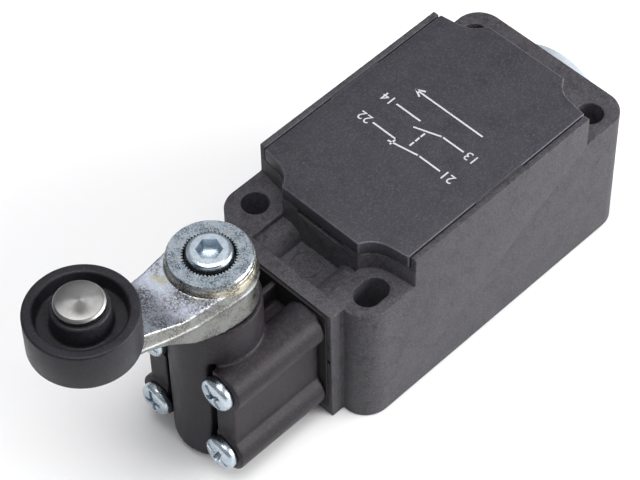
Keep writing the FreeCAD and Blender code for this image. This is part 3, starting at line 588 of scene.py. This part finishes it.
def edge_of_arm(x, along):
    """Depth inside the arm's outline, and the way out of it."""
    taper = (HUB_RADIUS - TIP_RADIUS) / LEVER_REACH
    slope = math.sqrt(1 - taper * taper)
    side = 1 if x >= 0 else -1
    reach = slope * along - taper * abs(x)
    if reach < 0:
        away, radius = Vector((x, along)), HUB_RADIUS
    elif reach > slope * LEVER_REACH:
        away, radius = Vector((x, along - LEVER_REACH)), TIP_RADIUS
    else:
        out = Vector((side * slope, taper))
        return HUB_RADIUS - (abs(x) * slope + along * taper), out
    return radius - away.length, away.normalized() if away.length > 0 else Vector((0, 1))


def draft_the_sides(piece):
    """Leans the arm's sides in above the parting line and sets them back below it."""
    for corner in piece.data.vertices:
        x, along, height = corner.co.x / MM - shaft_x, corner.co.y / MM - shaft_y, corner.co.z / MM
        if height > ARM_TOP + 0.1 and math.hypot(x, along) < BOSS_RADIUS + 0.25:
            continue
        depth, out = edge_of_arm(x, along)
        above = height - parting_height(along)
        if above > 0:
            inward = RIB_STEP * eased(above, 0.12, 0.4) + SIDE_LEAN * above
        else:
            inward = LOWER_STEP * eased(-above, 0.2, 0.55)
        inward *= 1 - eased(depth, 0.3, 3.5)
        corner.co.x -= out.x * inward * MM
        corner.co.y -= out.y * inward * MM


lever = cast_copy("lever_arm", "lever_casting", 0.18, 5)
draft_the_sides(lever)
selected_only(lever)
relax = lever.modifiers.new("relaxed", "SMOOTH")
relax.factor = 0.5
relax.iterations = 2
bpy.ops.object.modifier_apply(modifier=relax.name)
finished(lever, "lever", "lever_zinc", LEVER, "lever_arm")

boss = turned("ring_boss", [(6.4, 47.6), (6.4, 50.06), (BOSS_RADIUS - 0.08, 50.06), (BOSS_RADIUS, 49.98),
                            (BOSS_RADIUS, 49.3), (BOSS_RADIUS + 0.06, 49.1), (BOSS_RADIUS + 0.2, 48.9),
                            (BOSS_RADIUS + 0.2, 47.6), (6.4, 47.6)], axis_foot)
smooth(boss, 40)
finished(boss, "lever", "lever_zinc", BOSS)

RING_TEETH = 48
ring_radius = (ring_high.x - ring_low.x) / 2
ring_seat = ring_high.z - 0.8
TOOTH_TIP = 4.66
TOOTH_ROOT = 5.12
ring_outline = [(TOOTH_TIP, ring_low.z), (TOOTH_TIP, ring_high.z), (ring_radius - 0.3, ring_high.z),
                (ring_radius, ring_high.z - 0.3), (ring_radius, ring_seat), (6.2, ring_seat),
                (6.2, ring_low.z), (TOOTH_TIP, ring_low.z)]
ring = turned("serrated_washer", ring_outline, axis_foot, "Z", 2 * RING_TEETH)
for corner in ring.data.vertices:
    out = Vector((corner.co.x / MM - shaft_x, corner.co.y / MM - shaft_y))
    count = round(math.atan2(out.y, out.x) / (math.pi / RING_TEETH))
    if out.length < TOOTH_ROOT and count % 2:
        out *= TOOTH_ROOT / out.length
        corner.co.x = (shaft_x + out.x) * MM
        corner.co.y = (shaft_y + out.y) * MM
smooth(ring, 22)
finished(ring, "lever", "ring_zinc", RING, "serrated_ring")

socket_low, socket_high = low_high("lever_screw")
top = socket_high.z
HEX_TURN = math.radians(15)
HEX_RADIUS = 2.48
HEAD_SEAT = 47.2
socket_outline = [(0, socket_low.z), (2.1, socket_low.z), (2.45, socket_low.z + 0.4), (2.45, HEAD_SEAT),
                  (4.2, HEAD_SEAT), (4.2, top - 0.85), (4.12, top - 0.5), (3.9, top - 0.2),
                  (3.55, top - 0.04), (3.2, top), (0, top)]
socket_screw = turned("socket_screw", socket_outline, axis_foot)
bpy.ops.object.select_all(action="DESELECT")
bpy.ops.mesh.primitive_cylinder_add(vertices=6, radius=HEX_RADIUS * MM, depth=6 * MM,
                                    location=Vector((shaft_x, shaft_y, top + 0.3)) * MM)
hexagon = bpy.context.object
hexagon.rotation_euler.z = HEX_TURN
settle(hexagon)
carved(socket_screw, hexagon)
drill_tip = turned("drill_tip", [(0, top - 3.5), (1.9, top - 2.6), (0, top - 2.6)], axis_foot)
carved(socket_screw, drill_tip)
settle(socket_screw)
smooth(socket_screw, 28)
finished(socket_screw, "lever", "plated_screw", SCREW, "lever_screw")


# ---------------------------------------------------------------- roller and axle

roller_low, roller_high = low_high("roller")
roller_centre = ((roller_low.x + roller_high.x) / 2, (roller_low.y + roller_high.y) / 2, 0)
rim = (roller_high.x - roller_low.x) / 2
foot, crown = roller_low.z, roller_high.z
rim_top = crown - 1.3
tyre_outline = [(3.05, foot), (5.2, foot), (5.2, foot + 2.6), (8.0, foot + 2.6), (8.15, foot), (rim, foot),
                (rim, rim_top), (8.1, rim_top), (7.9, rim_top - 3.2), (5.35, rim_top - 3.2), (5.2, crown),
                (3.05, crown), (3.05, foot)]
roller = turned("roller_tyre", tyre_outline, roller_centre, "Z", 128)
softened(roller, 0.45, 4, 50)
smooth(roller, 40)
finished(roller, "roller", "roller_plastic", ROLLER, "roller")

axle_low, axle_high = low_high("roller_axle")
peak = axle_high.z
rivet, arm_face = axle_low.z, low_high("lever_arm")[1].z
axle_outline = [(0, rivet), (3.1, rivet), (3.4, rivet + 0.9), (2.5, rivet + 0.9), (2.5, arm_face),
                (3, arm_face), (3, crown + 0.2), (4.2, crown + 0.2), (4.53, crown + 0.45), (4.53, peak - 0.5),
                (4.5, peak - 0.44), (4.14, peak - 0.04), (4.06, peak), (0, peak)]
axle = turned("axle_pin", axle_outline, roller_centre, "Z", 128)
smooth(axle, 30)
AXLE_STEEL = turned_steel("faced_axle_steel", (*roller_centre[:2], peak))
finished(axle, "lever", "axle_steel", AXLE_STEEL, "roller_axle")


# ---------------------------------------------------------------- parts kept from the frame

KEPT = {"shaft_bush": BRONZE, "bush_clip": SPRING, "shaft_seal": RUBBER, "cam_shaft": SHAFT,
        "roller_washer": SPRING, "head_gasket": RUBBER, "entry_seal": RUBBER, "cover_gasket": RUBBER}
for node, finish in KEPT.items():
    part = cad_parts[node]
    for place in part.material_slots:
        place.material = finish

INSIDE = {"contact_base": ("contact_block_base", "switch_body", "block_plastic", BLOCK, 0.2),
          "contact_cap": ("contact_block_cap", "switch_body", "block_plastic", BLOCK, 0.1),
          "fixed_contacts": ("contact_strips", "switch_body", "contact_brass", BRASS, 0.08),
          "terminal_clamps": ("terminal_clamp_plates", "switch_body", "plated_screw", SCREW, 0.12),
          "terminal_screws": ("terminal_screw_set", "switch_body", "plated_screw", SCREW, 0.1),
          "block_screws": ("block_screw_pair", "switch_body", "plated_screw", SCREW, 0.1),
          "contact_slider": ("contact_slide_bar", "slider", "slider_plastic", SLIDER, 0.15),
          "contact_bridges": ("contact_bridge_pair", "slider", "contact_brass", BRASS, 0.12),
          "plunger": ("plunger_pin", "plunger", "slider_plastic", SLIDER, 0.15)}
for node, (name, body, slot, finish, edge) in INSIDE.items():
    part = copy_of(node, name)
    softened(part, edge, 2)
    smooth(part)
    finished(part, body, slot, finish, node)

for node, name, joint in (("plunger_spring", "return_coil", "plunger_slide"),
                          ("contact_spring", "contact_coil", "contact_slide")):
    coil = smooth(copy_of(node, name), 50)
    finished(coil, "switch_body", "spring_steel", SPRING, node)
    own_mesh(coil)


# ---------------------------------------------------------------- studio

bpy.ops.object.select_all(action="DESELECT")
bpy.ops.mesh.primitive_plane_add(size=6, location=(0, 0, -0.0002))
floor = bpy.context.object
floor.name = "studio_floor"
paper = Finish("studio_paper", Roughness=0.9, Base_Color=(0.86, 0.86, 0.86, 1), Specular_IOR_Level=0.1)
floor.data.materials.append(paper.material)


def softbox(name, place, aim, size, power):
    bpy.ops.object.select_all(action="DESELECT")
    bpy.ops.object.light_add(type="AREA", location=place)
    lamp = bpy.context.object
    lamp.name = name
    lamp.data.shape = "RECTANGLE"
    lamp.data.size = size[0]
    lamp.data.size_y = size[1]
    lamp.data.energy = power
    lamp.rotation_euler = (Vector(aim) - Vector(place)).to_track_quat("-Z", "Y").to_euler()


AIM = (0, 0.02, 0.02)
softbox("side_softbox", (-0.7, -0.5, 0.3), AIM, (0.8, 0.5), 12.6)
softbox("end_softbox", (-0.1, 0.9, 0.5), AIM, (0.6, 0.3), 0.2)
softbox("top_softbox", (-0.1, 0.1, 1.0), AIM, (0.7, 0.7), 7.8)
softbox("rim_softbox", (0.6, -0.5, 0.9), AIM, (0.7, 0.7), 1.0)

world = bpy.data.worlds.new("studio_room")
bpy.context.scene.world = world
world.use_nodes = True
sky = world.node_tree
backdrop = sky.nodes["Background"]
backdrop.inputs["Strength"].default_value = 0.8
facing = sky.nodes.new("ShaderNodeTexCoord")
parts = sky.nodes.new("ShaderNodeSeparateXYZ")
shades = sky.nodes.new("ShaderNodeValToRGB")
sky.links.new(facing.outputs["Generated"], parts.inputs["Vector"])
sky.links.new(parts.outputs["Z"], shades.inputs["Fac"])
shades.color_ramp.elements[0].position = 0.0
shades.color_ramp.elements[0].color = (0.16, 0.16, 0.17, 1)
shades.color_ramp.elements[1].position = 0.85
shades.color_ramp.elements[1].color = (0.62, 0.62, 0.64, 1)
sky.links.new(shades.outputs["Color"], backdrop.inputs["Color"])
bpy.context.scene.view_settings.view_transform = "Standard"
